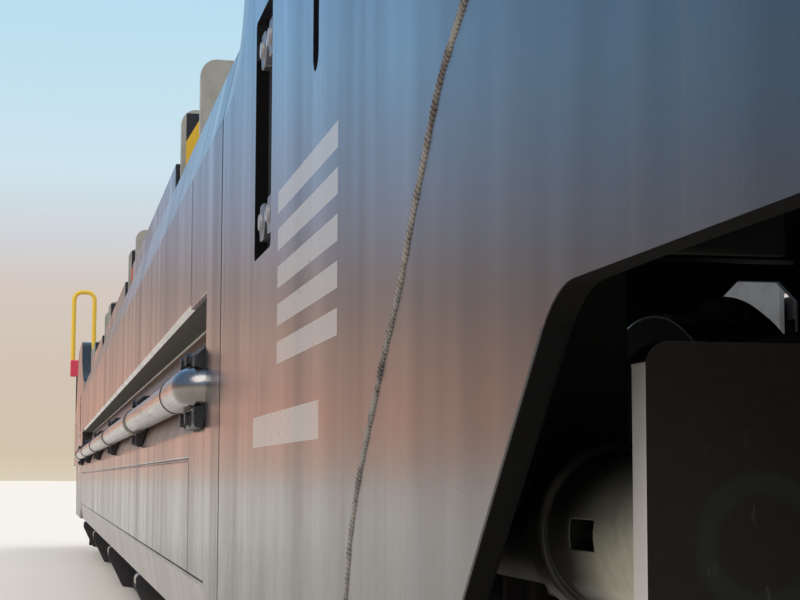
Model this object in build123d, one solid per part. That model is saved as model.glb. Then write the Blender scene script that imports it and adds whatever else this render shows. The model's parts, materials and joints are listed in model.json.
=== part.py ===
"""Low rail wagon for road semi-trailers: folding side walls and a lift-out loading tray.

Millimetres. +X runs along the wagon, +Y across it, +Z up. The origin is at the wagon's
middle, level with the lowest point of the wheel flanges. End a is at +X and end b at -X,
the near side is at -Y and the far side at +Y.
"""

import math
import os

from build123d import *

# Rails, wheels and bogies
RAIL_TOP = 28
WHEEL_RADIUS = 460
GAUGE_FACE_Y = 680
TREAD_OUTER_Y = 815
PIVOT_X = 7100
HALF_WHEELBASE = 900
JOURNAL_Y = 1000

# Wagon body
HALF_LENGTH = 9665
HEADSTOCK_X = 9045
HEADSTOCK_DEPTH = 120
SIDE_Y = 1480
JOINT_X = 5780
JOINT_GAP = 10
CHEEK_PLATE = 20
CHEEK_RIM_DEPTH = 60
CHEEK_RIM_PLATE = 14
BULKHEAD_X = 5560
DECK_LOW = 1100
DECK_HIGH = 1112
BUFFER_Y = 875
BUFFER_HEIGHT = 1060
HOOK_HEIGHT = 1040

# Folding side walls
WALL_INNER_Y = 1350
WALL_LOW = 320
WALL_TOP = 1432
WALL_CREASE = 1300
WALL_LEAN = 28
RAIL_TOPS = 1500
BEAM_END_X = 5110
RECESS_END_X = 5490
RECESS_TOP = 1011
RECESS_LOW = 738
RECESS_DEPTH = 85
FLAP_TOP = 688
FLAP_CREASE = 440
SHAFT_Y = 1500
SHAFT_HEIGHT = 826
SHAFT_RADIUS = 36
SHAFT_END_X = 5400
COLLAR_RADIUS = 40
WALL_PIVOT_Y = 1440
WALL_PIVOT_HEIGHT = 285
WALL_PIN_RADIUS = 15
WALL_HINGES_X = (-5200, -2600, 0, 2600, 5200)
WALL_RAILS_X = ((-4170, -1830), (-1170, 1170), (1830, 4170))
BEARING_BLOCKS = ((-3200, 32), (-1070, 32), (1070, 32), (3200, 32), (-5315, 135), (5315, 135))

# Loading tray
TRAY_END_X = 5520
TRAY_Y = 1330
TRAY_SIDE_PLATE = 25
TRAY_LOW = 215
TRAY_FLOOR = 250
TRAY_SIDE_TOP = 620
EAR_PAIRS_X = (-4500, -1500, 1500, 4500)
EAR_HALF_SPACING = 300
EAR_PLATE = 30
EAR_LOW = 1450
EAR_TOP = 1642
EAR_OUTER_Y = 1441
KINGPIN_X = -4950
KINGPIN_HEIGHT = 1130
KINGPIN_RADIUS = 25.4


def up(height):
    """Height above the rail, as a Z coordinate."""
    return height + RAIL_TOP


def outline(*corners):
    """Closed flat face from corners (u, v) or (u, v, corner radius)."""
    points = [corner[:2] for corner in corners]
    radii = [corner[2] if len(corner) > 2 else 0 for corner in corners]
    if not any(radii):
        return make_face(Polyline(*points, close=True))
    return make_face(FilletPolyline(*points, radius=radii, close=True))


def along_x(face, x0, x1):
    """Face drawn in (y, z), filled from x0 to x1."""
    plane = Plane((x0, 0, 0), x_dir=(0, 1, 0), z_dir=(1, 0, 0))
    return extrude(plane * face, amount=x1 - x0, dir=(1, 0, 0))


def along_y(face, y0, y1):
    """Face drawn in (x, z), filled from y0 to y1."""
    plane = Plane((0, y0, 0), x_dir=(1, 0, 0), z_dir=(0, -1, 0))
    return extrude(plane * face, amount=y1 - y0, dir=(0, 1, 0))


def along_z(face, z0, z1):
    """Face drawn in (x, y), filled from z0 to z1."""
    return extrude(Plane((0, 0, z0)) * face, amount=z1 - z0, dir=(0, 0, 1))


def block(x0, x1, y0, y1, z0, z1):
    """Box between two corners."""
    size = Box(x1 - x0, y1 - y0, z1 - z0)
    return Pos((x0 + x1) / 2, (y0 + y1) / 2, (z0 + z1) / 2) * size


def rod_x(x0, x1, y, z, radius):
    return Pos((x0 + x1) / 2, y, z) * Rot(0, 90, 0) * Cylinder(radius, x1 - x0)


def rod_y(y0, y1, x, z, radius):
    return Pos(x, (y0 + y1) / 2, z) * Rot(90, 0, 0) * Cylinder(radius, y1 - y0)


def rod_z(z0, z1, x, y, radius):
    return Pos(x, y, (z0 + z1) / 2) * Cylinder(radius, z1 - z0)


def fused(shapes):
    """One shape from a list of shapes that touch or overlap."""
    shapes = list(shapes)
    return shapes[0].fuse(*shapes[1:]) if len(shapes) > 1 else shapes[0]


def other_side(shape):
    return mirror(shape, about=Plane.XZ)


def other_end(shape):
    return mirror(shape, about=Plane.YZ)


def both_sides(shape):
    return [shape, other_side(shape)]


def both_ends(shapes):
    return list(shapes) + [other_end(shape) for shape in shapes]


parts = {}


def keep(node, *shapes):
    """Store solids under the name of their node."""
    solids = [solid for shape in shapes for solid in shape.solids()]
    parts[node] = solids[0] if len(solids) == 1 else Compound(children=solids)


# Wheelsets: two wheels pressed on an axle, drawn in (y, radius) and turned about Y.
WHEEL_SEAT_RADIUS = 92.5


def wheel():
    rim_y = GAUGE_FACE_Y
    flange_radius = WHEEL_RADIUS + RAIL_TOP
    profile = outline(
        (665, WHEEL_SEAT_RADIUS),
        (665, 140),
        (730, 395),
        (rim_y, 400),
        (rim_y, flange_radius - 12),
        (rim_y + 18, flange_radius),
        (rim_y + 36, WHEEL_RADIUS + 1),
        (TREAD_OUTER_Y, WHEEL_RADIUS - 5),
        (TREAD_OUTER_Y, 400),
        (758, 395),
        (845, 140),
        (845, WHEEL_SEAT_RADIUS),
    )
    return revolve(Plane.YZ * profile, Axis.Y)


def axle():
    half = outline(
        (0, 0),
        (0, 80),
        (600, 80),
        (640, WHEEL_SEAT_RADIUS),
        (850, WHEEL_SEAT_RADIUS),
        (865, 75),
        (890, 65),
        (1090, 65),
        (1090, 0),
    )
    turned = revolve(Plane.YZ * half, Axis.Y)
    return fused(both_sides(turned))


# Bogie frame, drawn about its own pivot.
AXLEBOX_HALF = 130
SPRING_OFFSET = 255
SPRING_RADIUS = 60
SPRING_LOW = 400
BEAM_UNDERSIDE = 640


def bogie_frame():
    side = outline(
        (-1260, up(660)),
        (-1260, up(735), 40),
        (-560, up(760)),
        (-430, up(790), 60),
        (430, up(790), 60),
        (560, up(760)),
        (1260, up(735), 40),
        (1260, up(660)),
        (1225, up(BEAM_UNDERSIDE)),
        (560, up(BEAM_UNDERSIDE), 60),
        (420, up(560), 60),
        (-420, up(560), 60),
        (-560, up(BEAM_UNDERSIDE), 60),
        (-1225, up(BEAM_UNDERSIDE)),
    )
    beam = along_y(side, 935, 1065)
    guides = [
        block(x - 20, x + 20, 935, 1065, up(425), up(650))
        for axle_x in (-HALF_WHEELBASE, HALF_WHEELBASE)
        for x in (axle_x - 165, axle_x + 165)
    ]
    bearer = block(-90, 90, 790, 910, up(780), up(858))
    shelf = block(-170, 170, 780, 1000, up(740), up(782))
    pieces = []
    for piece in [beam, bearer, shelf, *guides]:
        pieces += both_sides(piece)
    pieces.append(block(-220, 220, -940, 940, up(585), up(800)))
    pieces.append(rod_z(up(800), up(845), 0, 0, 200))
    return fused(pieces)


def axlebox():
    """One axlebox round the journal at the +X +Y corner, with the wings its springs stand on."""
    x = HALF_WHEELBASE
    z = up(WHEEL_RADIUS)
    body = outline(
        (x - AXLEBOX_HALF, up(SPRING_LOW - 30)),
        (x - AXLEBOX_HALF, z + 80, 60),
        (x - 60, z + 150, 40),
        (x + 60, z + 150, 40),
        (x + AXLEBOX_HALF, z + 80, 60),
        (x + AXLEBOX_HALF, up(SPRING_LOW - 30)),
    )
    wings = block(x - 330, x + 330, 930, 1070, up(SPRING_LOW - 30), up(SPRING_LOW))
    cover = rod_y(1090, 1118, x, z, 105)
    journal = rod_y(880, 1095, x, z, 65.05)
    return fused([along_y(body, 905, 1095), wings, cover]) - journal


def spring(x, y):
    """Coil pack from the axlebox wing to the underside of the side beam."""
    return rod_z(up(SPRING_LOW), up(BEAM_UNDERSIDE), x, y, SPRING_RADIUS)


def brake_gear():
    """Blocks at the inner side of both wheels of one axle, their beam and its hangers."""
    z = up(WHEEL_RADIUS)
    tread = WHEEL_RADIUS + 6
    ring = Circle(tread + 55) - Circle(tread)
    sector = outline((0, 0), (-700, -260), (-700, 260))
    shoe = Pos(HALF_WHEELBASE, z) * (ring & sector)
    pieces = both_sides(along_y(shoe, 722, 802))
    pieces.append(block(300, 390, -800, 800, z - 35, z + 35))
    for y in (-500, 500):
        pieces.append(block(220, 340, y - 15, y + 15, z - 30, up(640)))
    return fused(pieces)


for end, pivot_x in (("a", PIVOT_X), ("b", -PIVOT_X)):
    place = Pos(pivot_x, 0, 0)
    keep(f"bogie_frame_{end}", place * bogie_frame())
    corner = axlebox()
    keep(f"axleboxes_{end}", *[place * s for s in both_ends(both_sides(corner))])
    coils = []
    for coil_x in (HALF_WHEELBASE - SPRING_OFFSET, HALF_WHEELBASE + SPRING_OFFSET):
        coils += both_sides(spring(coil_x, JOURNAL_Y))
    keep(f"springs_{end}", *[place * s for s in both_ends(coils)])
    keep(f"brake_gear_{end}", *[place * s for s in both_ends([brake_gear()])])
    for number, axle_x in ((1, HALF_WHEELBASE), (2, -HALF_WHEELBASE)):
        spot = Pos(pivot_x + axle_x, 0, up(WHEEL_RADIUS))
        keep(f"wheels_{end}{number}", *[spot * s for s in both_sides(wheel())])
        keep(f"axle_{end}{number}", spot * axle())


# Floor frame: a low ladder between the bulkheads that the loading tray stands on.
FLOOR_LOW = 100
FLOOR_HIGH = 205


def floor_frame():
    pieces = []
    for y0, y1 in ((1085, 1335), (-1335, -1085), (-110, 110)):
        pieces.append(block(-BULKHEAD_X, BULKHEAD_X, y0, y1, up(FLOOR_LOW), up(FLOOR_HIGH)))
    for number in range(11):
        x = (number - 5) * 1080
        pieces.append(block(x - 70, x + 70, -1100, 1100, up(FLOOR_LOW + 15), up(FLOOR_HIGH - 10)))
    for x in (-4320, -1080, 1080, 4320):
        for y in (-1210, 1210):
            pieces.append(block(x - 120, x + 120, y - 60, y + 60, up(FLOOR_HIGH), up(TRAY_LOW)))
    return fused(pieces)


keep("floor_frame", floor_frame())


# Bulkheads: cross walls that carry the floor frame, ribbed and pierced by upright windows in all
# bays but two.
BULKHEAD_PLATE = 20
BULKHEAD_RIBS_X = 5630
BULKHEAD_RIBS_Y = (0, 235, 475, 715, 1005, 1320)
WINDOW_BAYS = ((235, 475), (715, 1005), (1005, 1320))
WINDOW_LOW = 650
WINDOW_HIGH = 1050


def bulkhead():
    x0 = BULKHEAD_X
    x1 = x0 + BULKHEAD_PLATE
    half_y = WALL_INNER_Y - 15
    plate = block(x0, x1, -half_y, half_y, up(FLOOR_LOW), up(DECK_LOW))
    for rib, next_rib in WINDOW_BAYS:
        width = next_rib - rib - 70
        height = WINDOW_HIGH - WINDOW_LOW
        window = chamfer(Rectangle(width, height).vertices(), 40)
        window = Pos((rib + next_rib) / 2, up(WINDOW_LOW) + height / 2) * window
        for cut in both_sides(along_x(window, x0 - 1, x1 + 1)):
            plate -= cut
    pieces = [plate]
    for y in sorted({side * rib for rib in BULKHEAD_RIBS_Y for side in (1, -1)}):
        pieces.append(block(x0, BULKHEAD_RIBS_X, y - 10, y + 10, up(FLOOR_LOW), up(DECK_LOW)))
    for z in (FLOOR_LOW, 600, DECK_LOW - 20):
        pieces.append(block(x0, BULKHEAD_RIBS_X, -half_y, half_y, up(z), up(z + 20)))
    return fused(pieces)


keep("bulkheads", bulkhead(), other_end(bulkhead()))


# Cheeks: side plates over the bogies, with a rim and ribs behind.
CHEEK_START_X = JOINT_X + JOINT_GAP / 2
CHEEK_END_X = 9025
SWEEP_X = 5880
SWEEP_RADIUS = 370
SWEEP_LEAN = ((0, 26), (12, 16), (24, 10), (42, 5), (60, 2))  # degrees round the sweep, mm
CHEEK_TOP = 1800
CHEEK_END_TOP = 1275
ARCH_HEIGHT = 765
CHEEK_RIBS = (
    (6150, WALL_LOW, 1480),
    (6700, WALL_LOW, 1780),
    (7250, WALL_LOW, 1780),
    (7700, 840, 1780),
    (8100, ARCH_HEIGHT, 1540),
    (8600, ARCH_HEIGHT, 1260),
)
WIDE_SLOT = (6300, 6500, 974, 1346, 10)
NARROW_SLOT = (6897, 6943, 1132, 1560, 22.9)


def cheek_outline():
    """Side view (x, z) of a cheek: sweep up from the wall, high middle, arch over the wheel."""
    sweep = math.radians(60)
    sweep_x = SWEEP_X + SWEEP_RADIUS * math.sin(sweep)
    sweep_z = WALL_TOP + SWEEP_RADIUS * (1 - math.cos(sweep))
    crest_x = sweep_x + (CHEEK_TOP - sweep_z) / math.tan(sweep)
    knee_x = SWEEP_X + SWEEP_RADIUS * math.tan(sweep / 2)
    return outline(
        (CHEEK_START_X, up(WALL_LOW)),
        (CHEEK_START_X, up(WALL_TOP)),
        (knee_x, up(WALL_TOP), SWEEP_RADIUS),
        (crest_x, up(CHEEK_TOP), 160),
        (7750, up(CHEEK_TOP), 500),
        (8480, up(CHEEK_END_TOP), 400),
        (CHEEK_END_X, up(CHEEK_END_TOP), 60),
        (CHEEK_END_X, up(ARCH_HEIGHT), 30),
        (7935, up(ARCH_HEIGHT), 110),
        (7410, up(WALL_LOW)),
    )


def sweep_bevel():
    """Wedge that leans the cheek's top edge in as the wall's does, fading out along the sweep."""
    height = WALL_TOP - WALL_CREASE
    stations = [(CHEEK_START_X - 1, 0, WALL_LEAN)]
    for angle, lean in SWEEP_LEAN:
        turn = math.radians(angle)
        stations.append((SWEEP_X + SWEEP_RADIUS * math.sin(turn), turn, lean))
    sections = []
    for x, turn, lean in stations:
        z = up(WALL_TOP) + SWEEP_RADIUS * (1 - math.cos(turn))
        across = Plane((x, SIDE_Y, z), x_dir=(0, 1, 0), z_dir=(math.cos(turn), 0, math.sin(turn)))
        slope = lean / height
        sections.append(across * outline((-lean - slope, 1), (0, -height), (30, -height), (30, 1)))
    return loft(sections, ruled=True)


def cheek():
    plate_y = SIDE_Y - CHEEK_PLATE
    rim_y = plate_y - CHEEK_RIM_DEPTH
    shape = cheek_outline()
    plate = along_y(shape, plate_y, SIDE_Y)
    hollow = offset(shape, -CHEEK_RIM_PLATE)
    rim = along_y(shape, rim_y, plate_y) - along_y(hollow, rim_y - 1, plate_y)
    arch = outline(
        (7350, up(WALL_LOW) - 1),
        (7350, up(WALL_LOW + 20)),
        (7885, up(ARCH_HEIGHT + 20)),
        (CHEEK_END_X + 1, up(ARCH_HEIGHT + 20)),
        (CHEEK_END_X + 1, up(WALL_LOW) - 1),
    )
    rim -= along_y(arch, rim_y - 1, plate_y)
    rim += block(CHEEK_START_X, SWEEP_X, rim_y, plate_y, up(WALL_TOP - 60), up(WALL_TOP))
    ribs = []
    for x, low, high in CHEEK_RIBS:
        ribs.append(block(x - 7, x + 7, rim_y, plate_y, up(low), up(high)))
    inside = along_y(shape, rim_y, SIDE_Y)
    body = fused([plate, rim, *[rib & inside for rib in ribs]])
    for x0, x1, low, high, radius in (WIDE_SLOT, NARROW_SLOT):
        slot = outline(
            (x0, up(low), radius),
            (x1, up(low), radius),
            (x1, up(high), radius),
            (x0, up(high), radius),
        )
        body -= along_y(slot, plate_y - 1, SIDE_Y + 1)
    return body - sweep_bevel()


corner_cheek = cheek()
keep("cheek_a_far", corner_cheek)
keep("cheek_a_near", other_side(corner_cheek))
keep("cheek_b_far", other_end(corner_cheek))
keep("cheek_b_near", other_end(other_side(corner_cheek)))


# Plates with large bolt heads behind the wide slots of the cheeks.
def slot_plate():
    back_y = SIDE_Y - CHEEK_PLATE
    plate = block(6262, 6518, back_y - 16, back_y, up(945), up(1373))
    hexagon = RegularPolygon(32, 6)
    heads = [
        along_y(Pos(x, up(z)) * hexagon, back_y, back_y + 15)
        for x in (6345, 6437)
        for z in (1029, 1294)
    ]
    return fused([plate, *heads])


keep("slot_plates", *both_ends(both_sides(slot_plate())))


# End frames over the bogies.
FRAME_Y = SIDE_Y - CHEEK_PLATE - CHEEK_RIM_DEPTH


def end_frame():
    low = 930
    pieces = [
        block(BULKHEAD_RIBS_X, HEADSTOCK_X - HEADSTOCK_DEPTH, -260, 260, up(905), up(DECK_LOW)),
        block(PIVOT_X - 200, PIVOT_X + 200, -FRAME_Y, FRAME_Y, up(low), up(DECK_LOW)),
        rod_z(up(845.5), up(910), PIVOT_X, 0, 180),
    ]
    for x in (6200, 8000, 8560):
        pieces.append(block(x - 30, x + 30, -FRAME_Y, FRAME_Y, up(1010), up(DECK_LOW)))
    for side in (1, -1):
        y0, y1 = sorted((side * (FRAME_Y - 60), side * FRAME_Y))
        pieces.append(block(5800, CHEEK_END_X, y0, y1, up(low), up(DECK_LOW)))
        pieces.append(block(5800, 5880, y0, y1, up(FLOOR_LOW), up(DECK_LOW)))
        y0, y1 = sorted((side * (WALL_INNER_Y - 55), side * (WALL_INNER_Y - 10)))
        pieces.append(block(BULKHEAD_RIBS_X, 5880, y0, y1, up(FLOOR_LOW), up(DECK_LOW)))
        y0, y1 = sorted((side * 790, side * 910))
        pieces.append(block(PIVOT_X - 95, PIVOT_X + 95, y0, y1, up(863), up(low)))
    return fused(pieces)


keep("end_frame_a", end_frame())
keep("end_frame_b", other_end(end_frame()))


def end_deck():
    """Deck plate, narrower where it passes between the ends of the side walls."""
    narrow_y = WALL_INNER_Y - 15
    wide_x = 5800
    end_x = HEADSTOCK_X - HEADSTOCK_DEPTH
    neck = block(BULKHEAD_X, wide_x, -narrow_y, narrow_y, up(DECK_LOW), up(DECK_HIGH))
    plate = block(wide_x, end_x, -FRAME_Y, FRAME_Y, up(DECK_LOW), up(DECK_HIGH))
    return fused([neck, plate])


keep("end_decks", end_deck(), other_end(end_deck()))


# Headstocks, buffers and draw gear.
HEADSTOCK_LOW = 880
HEADSTOCK_HIGH = 1240


def headstock():
    x0 = HEADSTOCK_X - HEADSTOCK_DEPTH
    half_y = FRAME_Y - 60
    z0, z1 = up(HEADSTOCK_LOW), up(HEADSTOCK_HIGH)
    beam = block(x0, HEADSTOCK_X, -half_y, half_y, z0, z1)
    hollow = block(x0 - 1, HEADSTOCK_X - 20, 15 - half_y, half_y - 15, z0 + 15, z1 - 15)
    webs = [block(x0, HEADSTOCK_X, y - 10, y + 10, z0, z1) for y in (-700, -260, 260, 700)]
    return fused([beam - hollow, *webs])


keep("headstocks", headstock(), other_end(headstock()))


def buffer_case():
    """Square flange on the headstock with a guide sleeve that ends in a collar."""
    y, z = BUFFER_Y, up(BUFFER_HEIGHT)
    flange = block(HEADSTOCK_X, HEADSTOCK_X + 25, y - 170, y + 170, z - 130, z + 130)
    flange = chamfer(flange.edges().filter_by(Axis.X), 25)
    profile = outline((25, 0), (25, 135), (70, 112), (295, 112), (295, 122), (325, 122), (325, 0))
    turned = revolve(Plane.XZ * profile, Axis.X)
    return fused([flange, Pos(HEADSTOCK_X, y, z) * turned])


def buffer_head():
    """Plunger and head plate with rounded corners and a bevelled face."""
    y, z = BUFFER_Y, up(BUFFER_HEIGHT)
    profile = outline((325, 0), (325, 96), (560, 96), (585, 150), (585, 0))
    stem = Pos(HEADSTOCK_X, y, z) * revolve(Plane.XZ * profile, Axis.X)
    face = outline(
        (y - 225, z - 170, 60),
        (y + 225, z - 170, 60),
        (y + 225, z + 170, 60),
        (y - 225, z + 170, 60),
    )
    head = along_x(face, HALF_LENGTH - 35, HALF_LENGTH)
    head = chamfer(head.faces().sort_by(Axis.X)[-1].edges(), 9)
    return fused([stem, head])


keep("buffer_cases", *both_ends(both_sides(buffer_case())))
keep("buffer_heads", *both_ends(both_sides(buffer_head())))


def draw_hook():
    z = up(HOOK_HEIGHT)
    shape = outline(
        (HEADSTOCK_X, z - 40),
        (HEADSTOCK_X, z + 40),
        (HEADSTOCK_X + 190, z + 40, 20),
        (HEADSTOCK_X + 215, z + 75, 20),
        (HEADSTOCK_X + 245, z + 40, 30),
        (HEADSTOCK_X + 262, z - 10, 30),
        (HEADSTOCK_X + 315, z + 10, 25),
        (HEADSTOCK_X + 305, z + 125, 20),
        (HEADSTOCK_X + 345, z + 130, 18),
        (HEADSTOCK_X + 385, z + 20, 60),
        (HEADSTOCK_X + 340, z - 85, 60),
        (HEADSTOCK_X + 190, z - 75, 60),
    )
    washer = block(HEADSTOCK_X, HEADSTOCK_X + 22, -150, 150, z - 130, z + 130)
    return fused([along_y(shape, -32, 32), washer]) - rod_y(-40, 40, HEADSTOCK_X + 165, z - 15, 26)


keep("draw_hooks", draw_hook(), other_end(draw_hook()))


def screw_coupling():
    """Coupling hanging from the hook's eye: pin, two links, screw with trunnions, and bail."""
    x = HEADSTOCK_X + 165
    z = up(HOOK_HEIGHT) - 15
    pieces = [rod_y(-78, 78, x, z, 25.5)]
    for y0 in (-66, 40):
        pieces.append(block(x - 28, x + 28, y0, y0 + 26, z - 235, z + 30))
    pieces.append(rod_y(-80, 80, x, z - 215, 34))
    pieces.append(rod_z(z - 440, z - 200, x, 0, 24))
    pieces.append(rod_y(-95, 95, x, z - 420, 34))
    for y in (-80, 80):
        pieces.append(block(x - 17, x + 17, y - 15, y + 15, z - 640, z - 420))
    pieces.append(block(x - 17, x + 17, -95, 95, z - 657, z - 625))
    return fused(pieces)


keep("screw_couplings", screw_coupling(), other_end(screw_coupling()))


# Shunter's steps under the headstock's corners, and brake pipe cocks beside the hook.
def corner_step():
    x0, x1 = HEADSTOCK_X - 90, HEADSTOCK_X - 20
    tread = block(HEADSTOCK_X - 260, HEADSTOCK_X - 10, 1050, 1330, up(405), up(420))
    hangers = [block(x0, x1, y, y + 12, up(405), up(HEADSTOCK_LOW)) for y in (1050, 1318)]
    rear = [block(x0 - 110, x0 + 5, y, y + 12, up(420), up(500)) for y in (1050, 1318)]
    return fused([tread, *hangers, *rear])


def end_cock(y):
    x, z = HEADSTOCK_X, up(960)
    body = block(x, x + 120, y - 30, y + 30, z - 30, z + 30)
    body = chamfer(body.edges().filter_by(Axis.X), 12)
    mouth = rod_x(x + 115, x + 165, y, z - 4, 24)
    lever = block(x + 75, x + 95, y - 12, y + 12, z + 25, z + 120)
    return fused([body, mouth, lever])


keep("corner_steps", *both_ends(both_sides(corner_step())))
keep("end_cocks", *both_ends([end_cock(y) for y in (-420, -290, 290, 420)]))


# Cylinders that lock the side walls: a slim barrel, a drum with a window, and a plate in front.
CYLINDER_Y = 1300
CYLINDER_HEIGHT = 600
DRUM_START_X = 7530
DRUM_END_X = 7800
DRUM_RADIUS = 69
DRUM_RIM_RADIUS = 77


def lock_cylinder():
    y, z = CYLINDER_Y, up(CYLINDER_HEIGHT)
    barrel = outline(
        (6540, 0),
        (6540, DRUM_RIM_RADIUS),
        (6580, DRUM_RIM_RADIUS),
        (6580, 58),
        (7480, 58),
        (7490, DRUM_RIM_RADIUS - 3),
        (7490, DRUM_RIM_RADIUS),
        (DRUM_START_X - 3, DRUM_RIM_RADIUS),
        (DRUM_START_X, DRUM_RIM_RADIUS - 3),
        (DRUM_START_X, DRUM_RADIUS),
        (DRUM_END_X, DRUM_RADIUS),
        (DRUM_END_X, 0),
    )
    drum = Pos(0, y, z) * revolve(Plane.XZ * barrel, Axis.X)
    window = block(7590, 7655, y + DRUM_RADIUS - 26, y + DRUM_RADIUS + 5, z - 12, z + 12)
    bridge = block(7590, 7655, y + DRUM_RADIUS - 27, y + DRUM_RADIUS - 12, z - 3, z + 3)
    face = outline(
        (1215, z - 140, 18),
        (1385, z - 140, 18),
        (1385, z + 140, 18),
        (1215, z + 140, 18),
    )
    plate = along_x(face, DRUM_END_X, DRUM_END_X + 30)
    hangers = [block(x - 12, x + 12, y - 50, FRAME_Y, z + 20, up(930)) for x in (6680, 7380)]
    return fused([drum - window, bridge, plate, *hangers])


keep("lock_cylinders", *both_ends(both_sides(lock_cylinder())))


# Side wall: box section with a long recess for the locking shaft.
def wall_shell():
    low = up(WALL_LOW)
    beam = outline(
        (WALL_INNER_Y, low),
        (SIDE_Y, low),
        (SIDE_Y, up(WALL_CREASE)),
        (SIDE_Y - WALL_LEAN, up(WALL_TOP)),
        (WALL_INNER_Y, up(WALL_TOP)),
    )
    end_x = JOINT_X - JOINT_GAP / 2
    rail_y = SIDE_Y - WALL_LEAN
    rails = [
        block(x0, x1, rail_y - 40, rail_y, up(WALL_TOP), up(RAIL_TOPS))
        for x0, x1 in WALL_RAILS_X
    ]
    body = fused([along_x(beam, -end_x, end_x), *rails])

    recess = outline(
        (SIDE_Y - RECESS_DEPTH, up(RECESS_TOP)),
        (SIDE_Y + 1, up(RECESS_TOP)),
        (SIDE_Y + 1, up(RECESS_LOW)),
        (SIDE_Y, up(RECESS_LOW)),
    )
    lip = outline(
        (SIDE_Y - 10, up(RECESS_TOP) - 1),
        (SIDE_Y - 10, up(RECESS_TOP)),
        (SIDE_Y + 1, up(RECESS_TOP) + 11),
        (SIDE_Y + 1, up(RECESS_TOP) - 1),
    )
    body -= along_x(recess, -RECESS_END_X, RECESS_END_X)
    body -= along_x(lip, -BEAM_END_X, BEAM_END_X)

    bevel = outline((SIDE_Y - 22, low - 1), (SIDE_Y + 1, up(FLAP_CREASE) + 6), (SIDE_Y + 1, low - 1))
    bevel_side = outline(
        (-5700, low - 1),
        (5700, low - 1),
        (5480, up(FLAP_CREASE) + 7),
        (-5480, up(FLAP_CREASE) + 7),
    )
    body -= along_x(bevel, -5700, 5700) & along_y(bevel_side, 1300, SIDE_Y + 2)

    groove = 8
    body -= block(-BEAM_END_X, BEAM_END_X, SIDE_Y - 8, SIDE_Y + 1, up(FLAP_TOP) - groove, up(FLAP_TOP))
    for side in (-1, 1):
        x0, x1 = sorted((side * BEAM_END_X, side * (BEAM_END_X - groove)))
        for z0, z1 in ((FLAP_CREASE, FLAP_TOP), (RECESS_TOP - 1, WALL_CREASE)):
            body -= block(x0, x1, SIDE_Y - 8, SIDE_Y + 1, up(z0), up(z1))

    bays = 12
    pitch = 2 * BEAM_END_X / bays
    for number in range(bays):
        x0 = -BEAM_END_X + number * pitch + 20
        x1 = x0 + pitch - 40
        body -= block(x0, x1, WALL_INNER_Y - 1, SIDE_Y - 45, up(1055), up(1330))
        body -= block(x0, x1, WALL_INNER_Y - 1, SIDE_Y - 70, up(400), up(690))

    lug = outline(
        (WALL_INNER_Y + 18, low + 2),
        (WALL_INNER_Y + 18, low - 8),
        (WALL_PIVOT_Y - 18, up(WALL_PIVOT_HEIGHT) - 18, 12),
        (WALL_PIVOT_Y + 22, up(WALL_PIVOT_HEIGHT) - 22, 18),
        (WALL_PIVOT_Y + 22, up(WALL_PIVOT_HEIGHT) + 18, 16),
        (WALL_INNER_Y + 74, low + 2),
    )
    lugs = [along_x(lug, x - 40, x + 40) for x in WALL_HINGES_X]
    body = fused([body, *lugs])
    return body - rod_x(-5400, 5400, WALL_PIVOT_Y, up(WALL_PIVOT_HEIGHT), WALL_PIN_RADIUS + 0.05)


def hinge_bracket(x):
    """Fork on the floor frame with the pin that a wall lug turns on."""
    z = up(WALL_PIVOT_HEIGHT)
    ear = outline(
        (1325, up(FLOOR_LOW + 5)),
        (1390, up(FLOOR_LOW + 15)),
        (WALL_PIVOT_Y + 22, z - 22, 18),
        (WALL_PIVOT_Y + 22, z + 22, 16),
        (WALL_PIVOT_Y - 22, z + 22),
        (1345, up(FLOOR_HIGH) - 2),
        (1325, up(FLOOR_HIGH) - 2),
    )
    forks = [along_x(ear, x - 75, x - 45), along_x(ear, x + 45, x + 75)]
    pin = rod_x(x - 75, x + 75, WALL_PIVOT_Y, z, WALL_PIN_RADIUS)
    back = block(x - 75, x + 75, 1335, 1345, up(FLOOR_LOW + 10), up(FLOOR_HIGH) - 5)
    return fused([*forks, pin, back]) - block(x - 100, x + 100, 1300, 1335, 0, 400)


def lock_shaft():
    """Tube with a stout sleeve at each end and a collar at either side of each bearing block."""
    z = up(SHAFT_HEIGHT)
    corners = [(-SHAFT_END_X, 0), (-SHAFT_END_X, COLLAR_RADIUS - 6), (6 - SHAFT_END_X, COLLAR_RADIUS)]
    spans = []
    for x, half in sorted(BEARING_BLOCKS)[1:-1]:
        spans += [(x - half - 16, x - half), (x + half, x + half + 16)]
    corners += [(-5040, COLLAR_RADIUS), (-5040, SHAFT_RADIUS)]
    for x0, x1 in spans:
        corners += [(x0, SHAFT_RADIUS), (x0, COLLAR_RADIUS), (x1, COLLAR_RADIUS), (x1, SHAFT_RADIUS)]
    corners += [(5040, SHAFT_RADIUS), (5040, COLLAR_RADIUS)]
    corners += [(SHAFT_END_X - 6, COLLAR_RADIUS), (SHAFT_END_X, COLLAR_RADIUS - 6), (SHAFT_END_X, 0)]
    return Pos(0, SHAFT_Y, z) * revolve(Plane.XZ * outline(*corners), Axis.X)


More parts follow.
